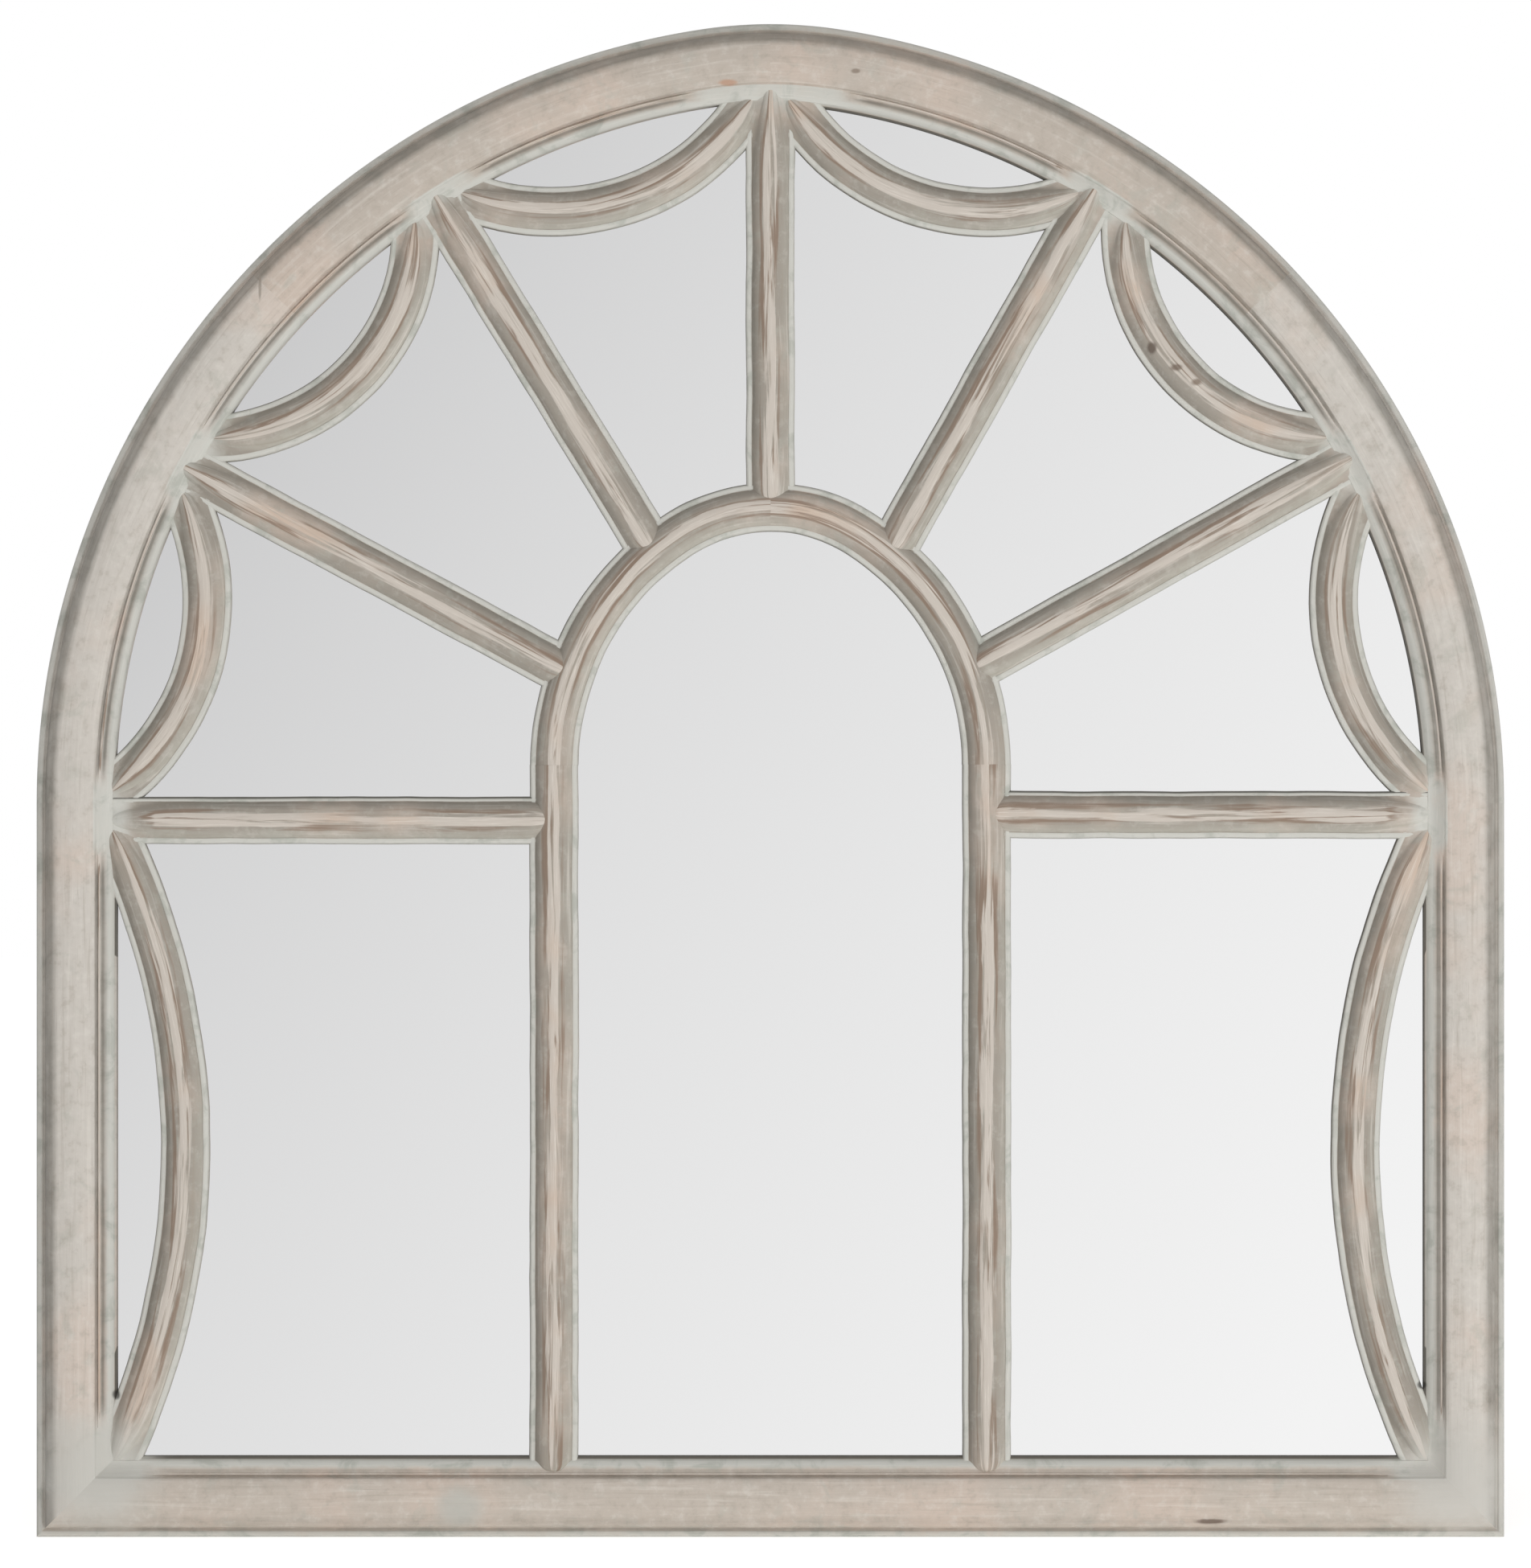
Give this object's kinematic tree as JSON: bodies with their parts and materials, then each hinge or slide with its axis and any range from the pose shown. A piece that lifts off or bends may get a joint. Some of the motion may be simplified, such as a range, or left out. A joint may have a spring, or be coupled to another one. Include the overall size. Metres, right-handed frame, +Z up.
{
  "type": "arched window mirror",
  "caption": "Arch-topped wall mirror with a limewashed wooden frame, a fanlight lattice of bars and swags over one mirror sheet, and swinging hanging rings on its back.",
  "frame": {"origin": "centre of the flat underside of the bottom rail", "axes": "+X to the right as the mirror is looked at, +Z up along the height, +Y into the wall behind it, so the front faces -Y"},
  "size_m": [0.815, 0.0279, 0.84],
  "materials": {
    "frame_wood": "limewashed, matt, light greige with grey shading in the hollows",
    "lattice_wood": "limewashed, matt, worn to pinkish beige on the ridges",
    "dowel_wood": "plain unfinished hardwood",
    "mirror": "polished silvered glass",
    "hardboard": "plain brown fibreboard",
    "screw_steel": "zinc plated",
    "hanger_steel": "zinc plated",
    "bumper_rubber": "matt black"
  },
  "bodies": {
    "frame": {"bottom_rail": "frame_wood", "left_stile": "frame_wood", "right_stile": "frame_wood", "left_haunch": "frame_wood", "right_haunch": "frame_wood", "left_crown": "frame_wood", "right_crown": "frame_wood", "centre_bar": "lattice_wood", "left_inner_stile": "lattice_wood", "right_inner_stile": "lattice_wood", "left_inner_arch": "lattice_wood", "right_inner_arch": "lattice_wood", "left_upper_ray": "lattice_wood", "right_upper_ray": "lattice_wood", "left_lower_ray": "lattice_wood", "right_lower_ray": "lattice_wood", "left_cross_bar": "lattice_wood", "right_cross_bar": "lattice_wood", "left_crown_swag": "lattice_wood", "right_crown_swag": "lattice_wood", "left_shoulder_swag": "lattice_wood", "right_shoulder_swag": "lattice_wood", "left_haunch_swag": "lattice_wood", "right_haunch_swag": "lattice_wood", "left_stile_swag": "lattice_wood", "right_stile_swag": "lattice_wood", "mitre_tongues": "dowel_wood", "frame_dowels": "dowel_wood", "bar_dowels": "dowel_wood", "mirror_sheet": "mirror", "backing_board": "hardboard", "board_screws": "screw_steel", "left_hanger_strap": "hanger_steel", "right_hanger_strap": "hanger_steel", "hanger_screws": "screw_steel", "wall_bumpers": "bumper_rubber"},
    "left_ring": {"left_hanging_ring": "hanger_steel"},
    "right_ring": {"right_hanging_ring": "hanger_steel"}
  },
  "joints": [
    {"name": "left_ring_swing", "type": "hinge", "parent": "frame", "child": "left_ring", "pos_m": [-0.37688, 0.0091, 0.52], "axis": [1, 0, 0], "range_deg": [0, 180]},
    {"name": "right_ring_swing", "type": "hinge", "parent": "frame", "child": "right_ring", "pos_m": [0.37688, 0.0091, 0.52], "axis": [1, 0, 0], "range_deg": [0, 180]}
  ]
}
